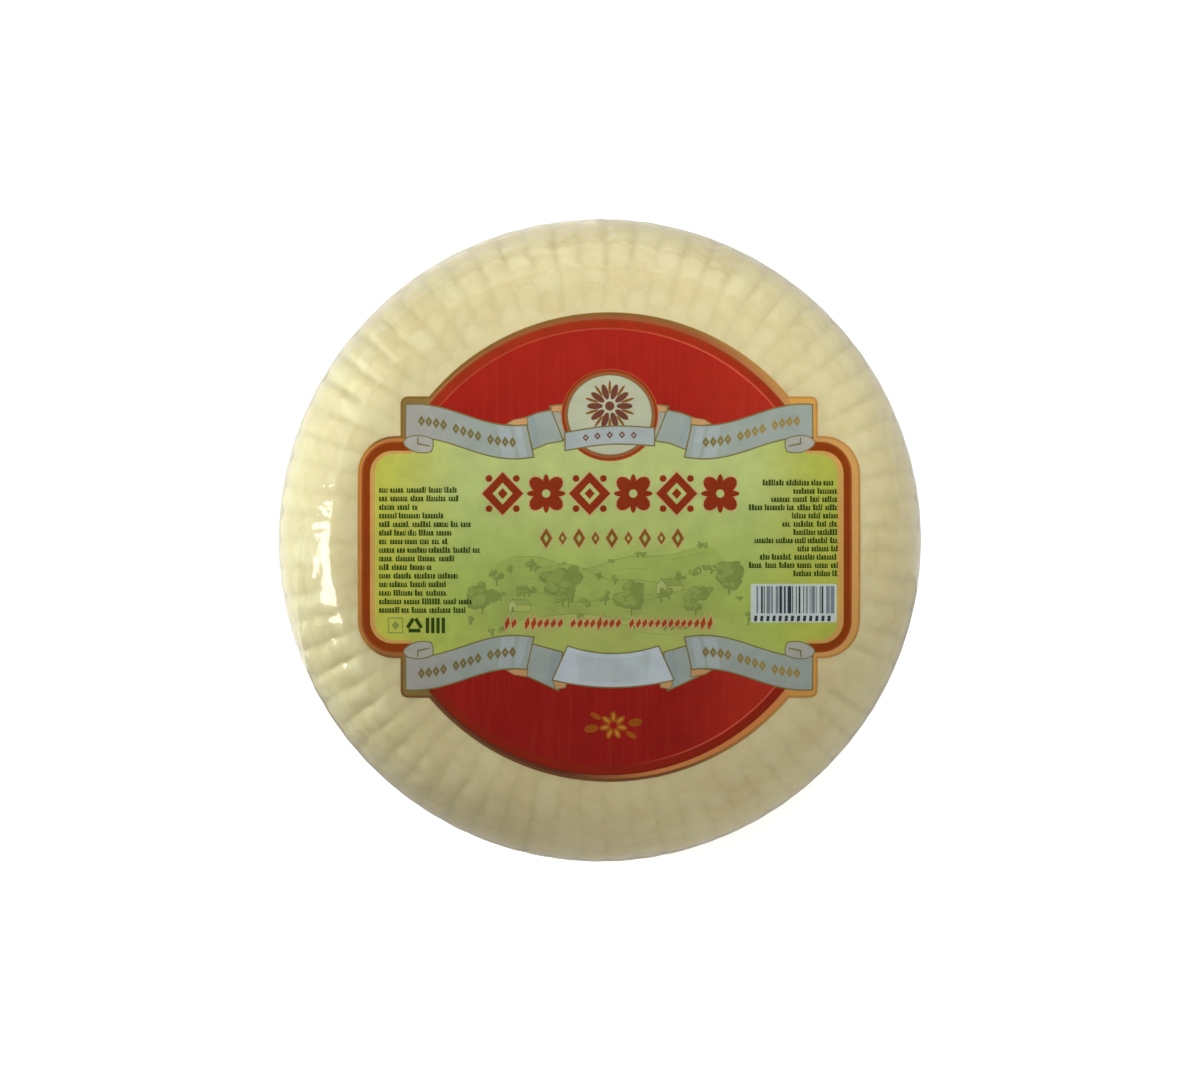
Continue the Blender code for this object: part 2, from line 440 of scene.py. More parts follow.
def shrink_film(settings):
    """Clear multilayer shrink film, blown thin and shrunk tight.

    It shows only as gloss: sharp highlights that break over the lumps, and a fine ripple."""
    made, tree, place = new_material("clear_shrink_film")
    slack = node(tree, "ShaderNodeTexNoise", {
        "Vector": place, "Scale": 1 / 0.006, "Detail": 1.0, "Roughness": 0.5})
    ripple = node(tree, "ShaderNodeTexNoise", {
        "Vector": place, "Scale": 1 / 0.0018, "Detail": 1.0, "Roughness": 0.5})
    wide = node(tree, "ShaderNodeBump", {
        "Height": slack.outputs["Fac"], "Strength": 0.5, "Distance": 0.00036})
    fine = node(tree, "ShaderNodeBump", {
        "Height": ripple.outputs["Fac"], "Normal": wide.outputs["Normal"],
        "Strength": 0.25, "Distance": 0.00026}).outputs["Normal"]
    shine = node(tree, "ShaderNodeFresnel", {"Normal": fine, "IOR": 1.5})
    clear = node(tree, "ShaderNodeBsdfTransparent")
    gloss = node(tree, "ShaderNodeBsdfAnisotropic", {"Normal": fine, "Roughness": settings.gloss})
    mixed = node(tree, "ShaderNodeMixShader", {
        0: shine.outputs["Fac"], 1: clear.outputs["BSDF"], 2: gloss.outputs["BSDF"]})
    node(tree, "ShaderNodeOutputMaterial", {"Surface": mixed.outputs["Shader"]})
    return made


def printed_ink(name, colour, runs=(), streaks=0.0):
    """Offset ink on coated label paper, matt because the film lies on it.

    The ink lies a little unevenly. Each run blends it into another colour along the label's
    X or Y, from one place to the other in metres; several runs paint light and shade into
    the ink, paler towards the top or the right and darker towards the bottom.
    Streaks are pale lines, about a millimetre across and long along the label's Y. Streaks
    are pale brushed lines along the paper's grain, drawn coarser than real fibre so that
    they show."""
    made, tree, place = new_material(name)
    mottle = node(tree, "ShaderNodeTexNoise", {
        "Vector": place, "Scale": 1 / 0.007, "Detail": 2.0, "Roughness": 0.6})
    amount = node(tree, "ShaderNodeMapRange", {
        "Value": mottle.outputs["Fac"], "From Min": 0.30, "From Max": 0.70,
        "To Min": 0.94, "To Max": 1.06})
    parts = node(tree, "ShaderNodeSeparateXYZ", {"Vector": place}).outputs
    steps = [(parts[axis], start, end, 1.0, linear(other)) for axis, start, end, other in runs]
    ink = node(tree, "ShaderNodeVectorMath", {
        0: blended(tree, colour, steps, "SMOOTHSTEP"), 1: amount.outputs["Result"]},
        operation="MULTIPLY").outputs[0]
    if streaks:
        stretch = node(tree, "ShaderNodeMapping", {
            "Vector": place, "Scale": (1 / 0.0011, 1 / 0.030, 1 / 0.030)})
        lines = node(tree, "ShaderNodeTexNoise", {
            "Vector": stretch.outputs["Vector"], "Scale": 1.0, "Detail": 2.0})
        ink = blended(tree, ink, ((lines.outputs["Fac"], 0.50, 0.80, streaks, linear("#d0503a")),))
    fibre = node(tree, "ShaderNodeTexNoise", {
        "Vector": place, "Scale": 1 / 0.0007, "Detail": 1.0})
    bump = node(tree, "ShaderNodeBump", {
        "Height": fibre.outputs["Fac"], "Strength": 0.2, "Distance": 0.00004})
    shader = node(tree, "ShaderNodeBsdfPrincipled", {
        "Base Color": ink, "Normal": bump.outputs["Normal"], "Roughness": 0.6,
        "Specular IOR Level": 0.02})
    node(tree, "ShaderNodeOutputMaterial", {"Surface": shader.outputs["BSDF"]})
    return made


def bronze_ink(name):
    """Gold-bronze printing ink on the label's rim: fine metal flakes in varnish, so it is partly
    metal. Light and shade are painted into its colour: painted shade makes it brown at the
    bottom, and a painted reflection of the lamps turns it bright gold towards the right."""
    made, tree, place = new_material(name)
    parts = node(tree, "ShaderNodeSeparateXYZ", {"Vector": place}).outputs
    # Painted light and shade: the colour turns bright gold towards the right as a painted
    # reflection, and brown at the bottom as painted shade
    left = blended(tree, linear("#e8a04c"), (
        (parts["Y"], -0.010, -0.045, 1.0, linear("#b88040")),))
    bottom = blended(tree, linear("#86380f"), (
        (parts["X"], -0.012, 0.022, 1.0, linear("#f2a254")),))
    colour = blended(tree, linear("#bf6a2d"), (
        (parts["X"], -0.040, -0.085, 1.0, left),
        (parts["X"], 0.035, 0.085, 1.0, linear("#f0bf6c")),
        (parts["Y"], -0.046, -0.060, 1.0, bottom)))
    flakes = node(tree, "ShaderNodeTexNoise", {
        "Vector": place, "Scale": 1 / 0.006, "Detail": 3.0})
    bump = node(tree, "ShaderNodeBump", {
        "Height": flakes.outputs["Fac"], "Strength": 0.4, "Distance": 0.0004})
    shader = node(tree, "ShaderNodeBsdfPrincipled", {
        "Base Color": colour, "Normal": bump.outputs["Normal"], "Roughness": 0.5,
        "Metallic": 0.15})
    node(tree, "ShaderNodeOutputMaterial", {"Surface": shader.outputs["BSDF"]})
    return made


def white_table():
    """A matt white acrylic table, lit a little from below so that it stays pale all over."""
    made, tree, place = new_material("white_acrylic_table")
    haze = node(tree, "ShaderNodeTexNoise", {"Vector": place, "Scale": 3.0})
    tone = node(tree, "ShaderNodeMix", {
        FACTOR: haze.outputs["Fac"], FIRST: linear("#f7f7f5"), SECOND: linear("#fbfbfa")},
        data_type="RGBA")
    shader = node(tree, "ShaderNodeBsdfPrincipled", {
        "Base Color": tone.outputs[RESULT], "Roughness": 0.7, "Specular IOR Level": 0.1,
        "Emission Color": (1.0, 1.0, 1.0), "Emission Strength": 0.35})
    node(tree, "ShaderNodeOutputMaterial", {"Surface": shader.outputs["BSDF"]})
    return made


# The label's print. Shapes are closed lists of points in millimetres from the label's middle
DISC_RADIUS = 84.4
PANEL_HALF = (90.4, 40.0)
PANEL_CORNER = 13.5
RIBBON_HALF = (75.0, 54.2)
RIBBON_CORNER = 2.5
PAPER_EDGE = 0.1
FOIL_EDGE = 0.9
DISC_PRINT = (-0.9, -0.05)

# Longest step of the flat print in millimetres, so that it can bend over the crown
PRINT_STEP = 3.2


def ellipse(centre, half_x, half_y, steps=32, start=0.0, end=TURN):
    """Points round an ellipse, or along a part of it with both ends included."""
    whole = abs(end - start) >= TURN - 1e-9
    angles = np.linspace(start, end, steps, endpoint=not whole)
    return [(centre[0] + half_x * math.cos(a), centre[1] + half_y * math.sin(a))
            for a in angles]


def rounded_box(half_x, half_y, corner, centre=(0.0, 0.0), steps=9):
    points = []
    for quarter, (side_x, side_y) in enumerate(((1, 1), (-1, 1), (-1, -1), (1, -1))):
        middle = (centre[0] + side_x * (half_x - corner), centre[1] + side_y * (half_y - corner))
        start = quarter * math.pi / 2
        points += ellipse(middle, corner, corner, steps, start, start + math.pi / 2)
    return points


def anticlockwise(points):
    area = sum(x0 * y1 - x1 * y0 for (x0, y0), (x1, y1) in zip(points, points[1:] + points[:1]))
    return points if area > 0 else points[::-1]


def grown(points, distance):
    """The same closed outline moved outwards by a distance, or inwards if it is negative."""
    points = anticlockwise(points)
    moved = []
    for index, point in enumerate(points):
        here = Vector(point)
        before = here - Vector(points[index - 1])
        after = Vector(points[(index + 1) % len(points)]) - here
        if before.length < 1e-6 or after.length < 1e-6:
            continue
        before.normalize()
        after.normalize()
        out = Vector((before.y + after.y, -before.x - after.x))
        if out.length < 1e-6:
            continue
        out.normalize()
        stretch = max(0.35, out.dot(Vector((before.y, -before.x))))
        moved.append(tuple(here + out * (distance / stretch)))
    return moved


def mirrored(points, flip_x, flip_y, middle=0.0):
    """The outline mirrored left to right about middle, top to bottom about zero, or both."""
    return [(2 * middle - x if flip_x else x, -y if flip_y else y) for x, y in points]


def oblong(left, low, right, top):
    return [(left, low), (right, low), (right, top), (left, top)]


def lozenge(centre, half_x, half_y, slant=0.0):
    x, y = centre
    return [(x + half_x, y), (x + slant, y + half_y), (x - half_x, y), (x - slant, y - half_y)]


def petals(centre, count, inner, outer, width, turn=0.0):
    """Narrow leaves that point away from a centre, each a closed shape."""
    shapes = []
    for index in range(count):
        angle = turn + TURN * index / count
        along = Vector((math.cos(angle), math.sin(angle)))
        side = Vector((-along.y, along.x))
        middle = Vector(centre) + along * (inner + outer) / 2
        half = (outer - inner) / 2
        shapes.append([tuple(middle + along * half * math.cos(a) + side * width / 2 * math.sin(a))
                       for a in np.linspace(0.0, TURN, 12, endpoint=False)])
    return shapes


def add(fields, ink, *shapes):
    """Prints closed shapes in one ink over what is there."""
    fields.extend((ink, shape) for shape in shapes)


def outlined(fields, points, ink, line="outline", width=0.5):
    """Adds a shape with a thin printed line round it."""
    add(fields, line, grown(points, width))
    add(fields, ink, points)


def ground_fields(fields):
    """Paper edge, foil rim and the fields of the disc and the panel. The print lies a little
    to the left of the die-cut, so the rim is wider at the right."""
    tab = rounded_box(*RIBBON_HALF, RIBBON_CORNER, steps=4)
    disc = ellipse((0.0, 0.0), DISC_RADIUS, DISC_RADIUS, 120)
    panel = rounded_box(*PANEL_HALF, PANEL_CORNER)
    for base in (tab, disc, panel):
        add(fields, "paper", base)
    for base in (tab, disc, panel):
        add(fields, "cut_edge", grown(base, -PAPER_EDGE))
    add(fields, "tab", grown(tab, -FOIL_EDGE))
    add(fields, "foil", grown(disc, -1.2))
    for ink, radius in (("rust", 81.9), ("ring", 81.3), ("line", 78.8), ("red", 78.2)):
        add(fields, ink, ellipse(DISC_PRINT, radius, radius, 120))
    add(fields, "foil", grown(panel, -FOIL_EDGE))
    for ink, half_x, half_y, middle in (("copper", 88.1, 37.9, -0.9), ("brown", 87.4, 37.4, -0.9),
                                        ("gold_line", 85.05, 34.6, -0.85),
                                        ("green", 83.15, 33.5, -1.05)):
        corner = PANEL_CORNER - (PANEL_HALF[1] - half_y)
        add(fields, ink, rounded_box(half_x, half_y, corner, (middle, 0.0)))


def ribbon_height(x):
    """Height of the outer ribbons' middle line, which waves down towards the label's middle."""
    return 41.5 + 3.9 * math.cos(math.pi * (abs(x) - 70.0) / 36.0)


def middle_field():
    """The panel's green between the ribbons, whose top and bottom edges they hide."""
    across = np.linspace(-70.6, 70.6, 41)
    top = [(x, ribbon_height(x) if abs(x) > 28 else 41.0) for x in across]
    return top[::-1] + [(x, -y) for x, y in top]


def sky_line(base, waves, reach=68.0, floor=-40.0, steps=69):
    """A hill's upper edge: a sum of waves (height, length, place) that sinks at both ends."""
    across = np.linspace(-reach, reach, steps)
    height = base + sum(h * np.cos(TURN * (across - at) / length) for h, length, at in waves)
    share = smooth_step((reach - np.abs(across)) / 34.0)
    return list(zip(across, floor + (height - floor) * share))


def stroke(points, width):
    """A thin drawn line along points, as one narrow shape that tapers to both ends."""
    count = len(points) - 1
    half = [width / 2 * min(1.0, 0.25 + 3.0 * min(at, count - at) / count)
            for at in range(count + 1)]
    upper = [(x, y + h) for (x, y), h in zip(points, half)]
    lower = [(x, y - h) for (x, y), h in zip(points, half)]
    return lower + upper[::-1]


def leafy_tree(fields, draw, place, half_x, half_y, clumps):
    """A leafy tree or bush: many small clumps in a rounded mass, the lit ones paler."""
    x, y = place
    middle = (x, y + 1.25 * half_y)
    add(fields, "sketch", [(x - 0.3, y), (x + 0.3, y), (x + 0.2, middle[1]),
                           (x - 0.2, middle[1])])
    spots = []
    for _ in range(clumps):
        angle, reach = draw.uniform(0.0, TURN), math.sqrt(draw.uniform(0.0, 1.0))
        spots.append((middle[0] + 0.75 * half_x * reach * math.cos(angle),
                      middle[1] + 0.75 * half_y * reach * math.sin(angle),
                      draw.uniform(0.24, 0.42)))
    for cx, cy, share in spots:
        add(fields, "sketch", ragged(draw, (cx, cy), half_x * share + 0.1, half_y * share + 0.1))
    for cx, cy, share in spots:
        add(fields, "bush", ragged(draw, (cx, cy), half_x * share, half_y * share))
    for cx, cy, share in spots:
        if cx < middle[0] + 0.3 * half_x:
            lit = (cx - 0.1 * half_x, cy + 0.1 * half_y)
            add(fields, "tree", ragged(draw, lit, half_x * share * 0.6, half_y * share * 0.5))


def ragged(draw, centre, half_x, half_y, steps=8):
    """A small blot with an uneven edge."""
    reach = draw.uniform(0.78, 1.12, steps)
    return [(centre[0] + half_x * r * math.cos(TURN * at / steps),
             centre[1] + half_y * r * math.sin(TURN * at / steps)) for at, r in enumerate(reach)]


def barn(fields, x, y, size):
    """A plain barn seen from its corner, with a pale front and a pitched roof."""
    front = [(x, y), (x + size, y), (x + size, y + 0.8 * size), (x + 0.5 * size, y + 1.4 * size),
             (x, y + 0.8 * size)]
    side = [(x + size, y), (x + 2.6 * size, y), (x + 2.6 * size, y + 0.75 * size),
            (x + size, y + 0.8 * size)]
    roof = [(x + size, y + 0.8 * size), (x + 2.6 * size, y + 0.75 * size),
            (x + 2.2 * size, y + 1.35 * size), (x + 0.5 * size, y + 1.4 * size)]
    outlined(fields, front, "barn_front", "sketch", 0.2)
    outlined(fields, side, "field", "sketch", 0.2)
    outlined(fields, roof, "tree", "sketch", 0.2)
    add(fields, "bush", oblong(x + 0.32 * size, y, x + 0.68 * size, y + 0.5 * size))


def landscape_fields(fields):
    """Soft hills with fields, hedges, leafy trees and two barns, in greens like the panel's."""
    add(fields, "green", middle_field())
    # A hill's ink and edge, its number of drawn lines and of small trees, how far those stand
    # under the edge and how large they are, its larger trees, and its barn
    hills = (
        ("far_hill", sky_line(-3.5, ((3.0, 88.0, 34.0), (1.2, 31.0, 6.0))),
         2, 7, 0.8, (0.9, 1.6), (), ()),
        ("hill", sky_line(-9.5, ((3.2, 70.0, -22.0), (0.9, 23.0, 10.0))),
         5, 15, 1.6, (1.4, 2.8), ((-17.0, -19.5, 7.6, 6.4, 20), (43.0, -17.0, 6.2, 5.6, 18)),
         ((17.0, -16.5, 3.6),)),
        ("near_hill", sky_line(-17.0, ((2.4, 92.0, 44.0), (0.8, 27.0, 0.0))),
         6, 16, 2.2, (2.0, 3.6), ((8.0, -24.5, 6.4, 5.6, 18), (-45.5, -24.0, 6.0, 5.4, 18),
                                  (31.0, -24.5, 5.6, 4.8, 16)), ((-36.0, -23.0, 3.0),)),
        ("field", sky_line(-25.5, ((1.6, 60.0, -12.0),)),
         6, 10, 3.0, (1.2, 2.2), (), ()))
    draw = np.random.default_rng(41)
    for ink, edge, lines, small_trees, depth, sizes, large_trees, barns in hills:
        add(fields, ink, [(68.0, -40.2)] + edge[::-1] + [(-68.0, -40.2)])
        add(fields, "bush", stroke(edge[14:-14], 0.22))
        for _ in range(lines):
            at = int(draw.integers(12, 46))
            drop = draw.uniform(1.2, 4.5)
            run = [(x, y - drop - 0.08 * (x - edge[at][0])) for x, y in edge[at:at + 9]]
            add(fields, "tree", stroke(run, 0.3))
        for x in draw.uniform(-50.0, 50.0, small_trees):
            low = np.interp(x, *zip(*edge)) - depth
            half = draw.uniform(*sizes)
            leafy_tree(fields, draw, (x, low), half, half * draw.uniform(0.6, 1.0), 5)
        for x, y, half_x, half_y, clumps in large_trees:
            leafy_tree(fields, draw, (x, y), half_x, half_y, clumps)
        for place in barns:
            barn(fields, *place)


def ribbon_band(left_top, left_low, right_top, right_low, half=5.75, steps=17):
    """A waving band between slanted ends, as one outline."""
    top = [(x, ribbon_height(x) + half) for x in np.linspace(left_top, right_top, steps)]
    low = [(x, ribbon_height(x) - half) for x in np.linspace(left_low, right_low, steps)]
    return low + top[::-1]


def ribbon_corner(fields, flip_x, flip_y):
    """One outer ribbon with its rolled end and folds, and above its piece behind them."""

    def put(ink, points, width=0.5):
        outlined(fields, mirrored(points, flip_x, flip_y), ink, width=width)

    if not flip_y:
        put("ribbon_far", [(-21.0, 50.4), (-12.0, 51.5), (-10.0, 41.0), (-17.0, 38.6)])
        put("ribbon", [(-29.9, 46.3), (-25.4, 48.0), (-20.9, 48.9), (-16.8, 38.3),
                       (-22.0, 37.4), (-27.3, 35.3)])
        shade = [(-29.4, 46.5), (-27.2, 47.3), (-24.6, 36.7), (-27.0, 35.7)]
        add(fields, "ribbon_shade", mirrored(shade, flip_x, flip_y))
        put("fold", [(-20.8, 48.9), (-20.3, 50.6), (-16.4, 50.9), (-16.5, 48.4)], 0.3)
    put("fold", [(-36.5, 44.2), (-34.2, 45.6), (-29.5, 46.4), (-29.4, 43.4)], 0.3)
    put("ribbon", ribbon_band(-72.8, -72.9, -29.8, -27.3))
    for ends in ((-40.0, -38.4, -35.6, -33.6), (-34.4, -32.2, -31.6, -29.2)):
        sheen = ribbon_band(*ends, half=5.5, steps=5)
        add(fields, "ribbon_light", mirrored(sheen, flip_x, flip_y))
    for x in (word + 2.65 * beat for word in (-67.4, -55.0, -42.6) for beat in range(4)):
        beat = mirrored(lozenge((x, ribbon_height(x)), 1.3, 2.0), flip_x, flip_y)
        hollow = mirrored(lozenge((x, ribbon_height(x)), 0.3, 0.5), flip_x, flip_y)
        add(fields, "ribbon_mark", beat)
        add(fields, "ribbon", hollow)
    put("roll", [(-73.7, 37.6), (-73.2, 38.5), (-72.3, 39.2), (-70.5, 39.8), (-68.0, 39.9),
                 (-65.5, 39.4), (-63.6, 38.7), (-63.3, 37.6), (-63.4, 36.0), (-64.0, 34.4),
                 (-66.0, 34.0), (-69.0, 34.2), (-71.5, 35.2), (-73.2, 36.5)], 0.4)
    hook = [(-68.9, 39.4), (-68.5, 39.4), (-68.4, 37.4), (-64.2, 36.4), (-64.4, 36.0),
            (-69.0, 36.9)]
    add(fields, "outline", mirrored(hook, flip_x, flip_y))


def bottom_ribbon(fields):
    """The plain ribbon under the landscape, its folds and the pieces beside it."""
    middle = 1.4
    for flip in (False, True):
        side = [(-30.2, -34.2), (-17.0, -37.8), (-18.4, -51.1), (-29.6, -46.0)]
        outlined(fields, mirrored(side, flip, False, middle), "ribbon")
        shade = [(-20.6, -36.9), (-17.2, -37.9), (-18.5, -50.7), (-22.6, -49.0)]
        add(fields, "ribbon_shade", mirrored(shade, flip, False, middle))
        fold = [(-20.1, -47.2), (-19.2, -50.9), (-15.7, -50.2), (-15.4, -48.1)]
        outlined(fields, mirrored(fold, flip, False, middle), "fold", width=0.3)
    top = [(x, -38.4 + 2.7 * ((x - middle) / 16.2) ** 2) for x in np.linspace(-14.8, 17.6, 13)]
    low = [(x, -50.1 + 2.6 * ((x - middle) / 21.5) ** 2) for x in np.linspace(-20.1, 22.9, 15)]
    outlined(fields, low + top[::-1], "ribbon_edge")
    inner = [(x, y + 1.6) for x, y in low[3:-3]] + [(x, y - 1.5) for x, y in top[::-1][1:-1]]
    add(fields, "ribbon_front", inner)


def medallion(fields):
    """A round medallion between the upper ribbons, with a rosette and a small plain ribbon."""
    centre = (0.2, 47.4)
    for ink, half_x, half_y in (("line", 17.4, 16.6), ("brown", 17.0, 16.2), ("foil", 16.3, 15.5),
                                ("outline", 15.4, 14.6), ("ground", 15.0, 14.2)):
        add(fields, ink, ellipse(centre, half_x, half_y, 56))
    ring = (centre[0], centre[1] + 3.2)
    add(fields, "emblem", *petals(ring, 10, 2.4, 8.2, 2.3))
    add(fields, "subtitle", *petals(ring, 10, 4.2, 9.2, 1.0, math.pi / 10))
    add(fields, "emblem", ellipse(ring, 1.7, 1.7, 16))
    band = [(x, 39.2 + 0.055 * x + 0.9 * math.cos(x / 7.5)) for x in np.linspace(-15.6, 16.0, 15)]
    low = [(x, y - 3.0) for x, y in band]
    top = [(x, y + 3.0) for x, y in band]
    outlined(fields, low + top[::-1], "ribbon_light")
    for x in (-8.4, -4.2, 0.2, 4.6, 8.8):
        dot = (x, 39.3 + 0.055 * x + 0.9 * math.cos(x / 7.5))
        add(fields, "emblem", lozenge(dot, 1.15, 1.35))
        add(fields, "ribbon_light", lozenge(dot, 0.5, 0.6))


def title_ornaments(fields):
    """A bold row of lozenges and four-leaf shapes with a pale edge, and a finer row under it."""
    middles = [(-38.2 + 78.0 * index / 5, 19.2) for index in range(6)]
    for index, middle in enumerate(middles):
        leaves = petals(middle, 4, 1.2, 7.7, 5.0, math.pi / 4)
        if index % 2:
            add(fields, "edging", *(grown(leaf, 0.35) for leaf in leaves))
        else:
            add(fields, "edging", lozenge(middle, 7.9, 8.2))
    for index, middle in enumerate(middles):
        leaves = petals(middle, 4, 1.2, 7.7, 5.0, math.pi / 4)
        if index % 2:
            add(fields, "title", *leaves, *petals(middle, 4, 0.4, 7.0, 2.3))
            add(fields, "green", ellipse(middle, 1.5, 1.5, 16))
        else:
            add(fields, "title", lozenge(middle, 7.4, 7.7))
            add(fields, "green", lozenge(middle, 3.6, 3.9))
            tips = [(middle[0] + side * 4.9, middle[1] + end * 5.4)
                    for side in (-1, 1) for end in (-1, 1)]
            add(fields, "title", lozenge(middle, 1.8, 2.0),
                *(ellipse(tip, 1.25, 1.25, 12) for tip in tips))
    for index in range(9):
        middle = (-22.6 + 5.9 * index, 3.2)
        half = (2.2, 3.6) if index % 2 == 0 else (1.5, 2.4)
        add(fields, "edging", grown(lozenge(middle, *half), 0.3))
        add(fields, "subtitle", lozenge(middle, *half))
        add(fields, "green", lozenge(middle, half[0] * 0.40, half[1] * 0.42))
    draw = np.random.default_rng(7)
    x = -36.6
    while x < 37.9:
        tall = draw.choice((1.6, 1.7, 1.8, 2.5))
        if draw.random() > 0.10:
            leaf = lozenge((x, -27.3), 0.95, tall, slant=0.5)
            add(fields, "edging", grown(leaf, 0.4))
            add(fields, "motto", leaf)
        x += draw.uniform(2.2, 2.5)


def print_lines(fields, edge, first, pitch, lengths, from_left, seed):
    """Lines of mock fine print: each line is as long as lengths says, and is set from groups
    of short upright ticks that are joined at their feet."""
    draw = np.random.default_rng(seed)
    for index, length in enumerate(lengths):
        y = first - pitch * index
        left = edge if from_left else edge - length
        at = 0.0
        while at < length - 1.0:
            word = min(draw.uniform(2.6, 8.2), length - at)
            add(fields, "print", oblong(left + at, y - 0.86, left + at + word, y - 0.56))
            tick = 0.0
            while tick < word - 0.3:
                tall = draw.choice((0.78, 0.78, 0.68, 1.25))
                x = left + at + tick
                wide = min(draw.uniform(0.48, 0.82), word - tick)
                add(fields, "print", oblong(x, y - 0.7, x + wide, y + tall))
                tick += wide + draw.uniform(0.24, 0.34)
            at += word + draw.uniform(0.7, 1.1)


def code_block(fields):
    """A pale block with upright bars of uneven width."""
    add(fields, "pale", rounded_box(15.45, 6.9, 0.5, (66.25, -20.1), 3))
    draw = np.random.default_rng(64)
    x = 52.8
    while x < 80.4:
        width = draw.choice((0.33, 0.33, 0.66, 0.99, 1.32))
        ink = draw.choice(("bars", "bars", "bars", "grey_bars"))
        add(fields, ink, oblong(x, -23.8, x + width, -14.0))
        x += width + draw.choice((0.33, 0.33, 0.66, 0.99))
    for x in np.arange(51.9, 80.5, 2.2):
        add(fields, "bars", [(x, -26.6), (x + 1.1, -26.6), (x + 1.3, -24.6), (x + 0.2, -24.6)])


def bar(start, end, width):
    """A straight bar from one point to another."""
    side = (Vector(end) - Vector(start)).normalized().orthogonal() * width / 2
    return [tuple(Vector(start) - side), tuple(Vector(end) - side), tuple(Vector(end) + side),
            tuple(Vector(start) + side)]


def small_marks(fields):
    """Plain marks at the panel's lower left: a framed square and two sets of bars."""
    add(fields, "bush", rounded_box(2.8, 2.9, 0.3, (-76.7, -28.1), 3))
    add(fields, "green", rounded_box(2.35, 2.45, 0.2, (-76.7, -28.1), 3))
    add(fields, "bush", lozenge((-76.7, -28.1), 1.4, 1.7))
    for side in ((-72.0, -30.0, -67.8, -30.0), (-72.4, -29.0, -70.3, -25.6),
                 (-69.5, -25.6, -67.4, -29.0)):
        add(fields, "print", bar(side[:2], side[2:], 1.3))
    for x in (-65.2, -63.3, -61.4, -59.5):
        add(fields, "print", rounded_box(0.6, 2.8, 0.25, (x, -28.1), 3))


def lower_rosette(fields):
    """A small foil rosette with two leaves in the disc's lower field."""
    centre = (1.5, -64.0)
    for leaves in ((7, 1.0, 5.2, 2.4, math.pi / 2), (2, 5.4, 10.6, 3.0, math.radians(8)),
                   (2, 5.0, 9.4, 2.0, math.radians(-28))):
        add(fields, "bronze", *petals(centre, *leaves))
    add(fields, "red", ellipse(centre, 1.2, 1.2, 12))
    add(fields, "bright_bronze", *petals(centre, 7, 1.8, 4.6, 1.0, math.pi / 2))


def label_fields():
    """Every printed field from the lowest to the topmost, as (ink, outline)."""
    fields = []
    ground_fields(fields)
    landscape_fields(fields)
    bottom_ribbon(fields)
    for flip_x in (False, True):
        for flip_y in (False, True):
            ribbon_corner(fields, flip_x, flip_y)
    medallion(fields)
    title_ornaments(fields)
    left = (28.0, 28.5, 14.0, 24.0, 33.0, 26.0, 25.0, 36.5, 27.5, 19.0, 30.0, 24.0, 25.5, 33.5, 31.0)
    print_lines(fields, -82.6, 20.4, 3.08, left, True, 3)
    right = (27.0, 16.0, 24.0, 32.0, 16.5, 20.0, 16.0, 30.0, 14.5, 28.0, 32.0, 16.0)
    print_lines(fields, 82.1, 23.0, 2.96, right, False, 9)
    code_block(fields)
    small_marks(fields)
    lower_rosette(fields)
    return fields


# Runs of an ink into another along X or Y, from one place to the other in metres
HILL_RUNS = (("X", 0.032, 0.058, "#bccb6e"), ("X", -0.032, -0.058, "#c2d06c"))

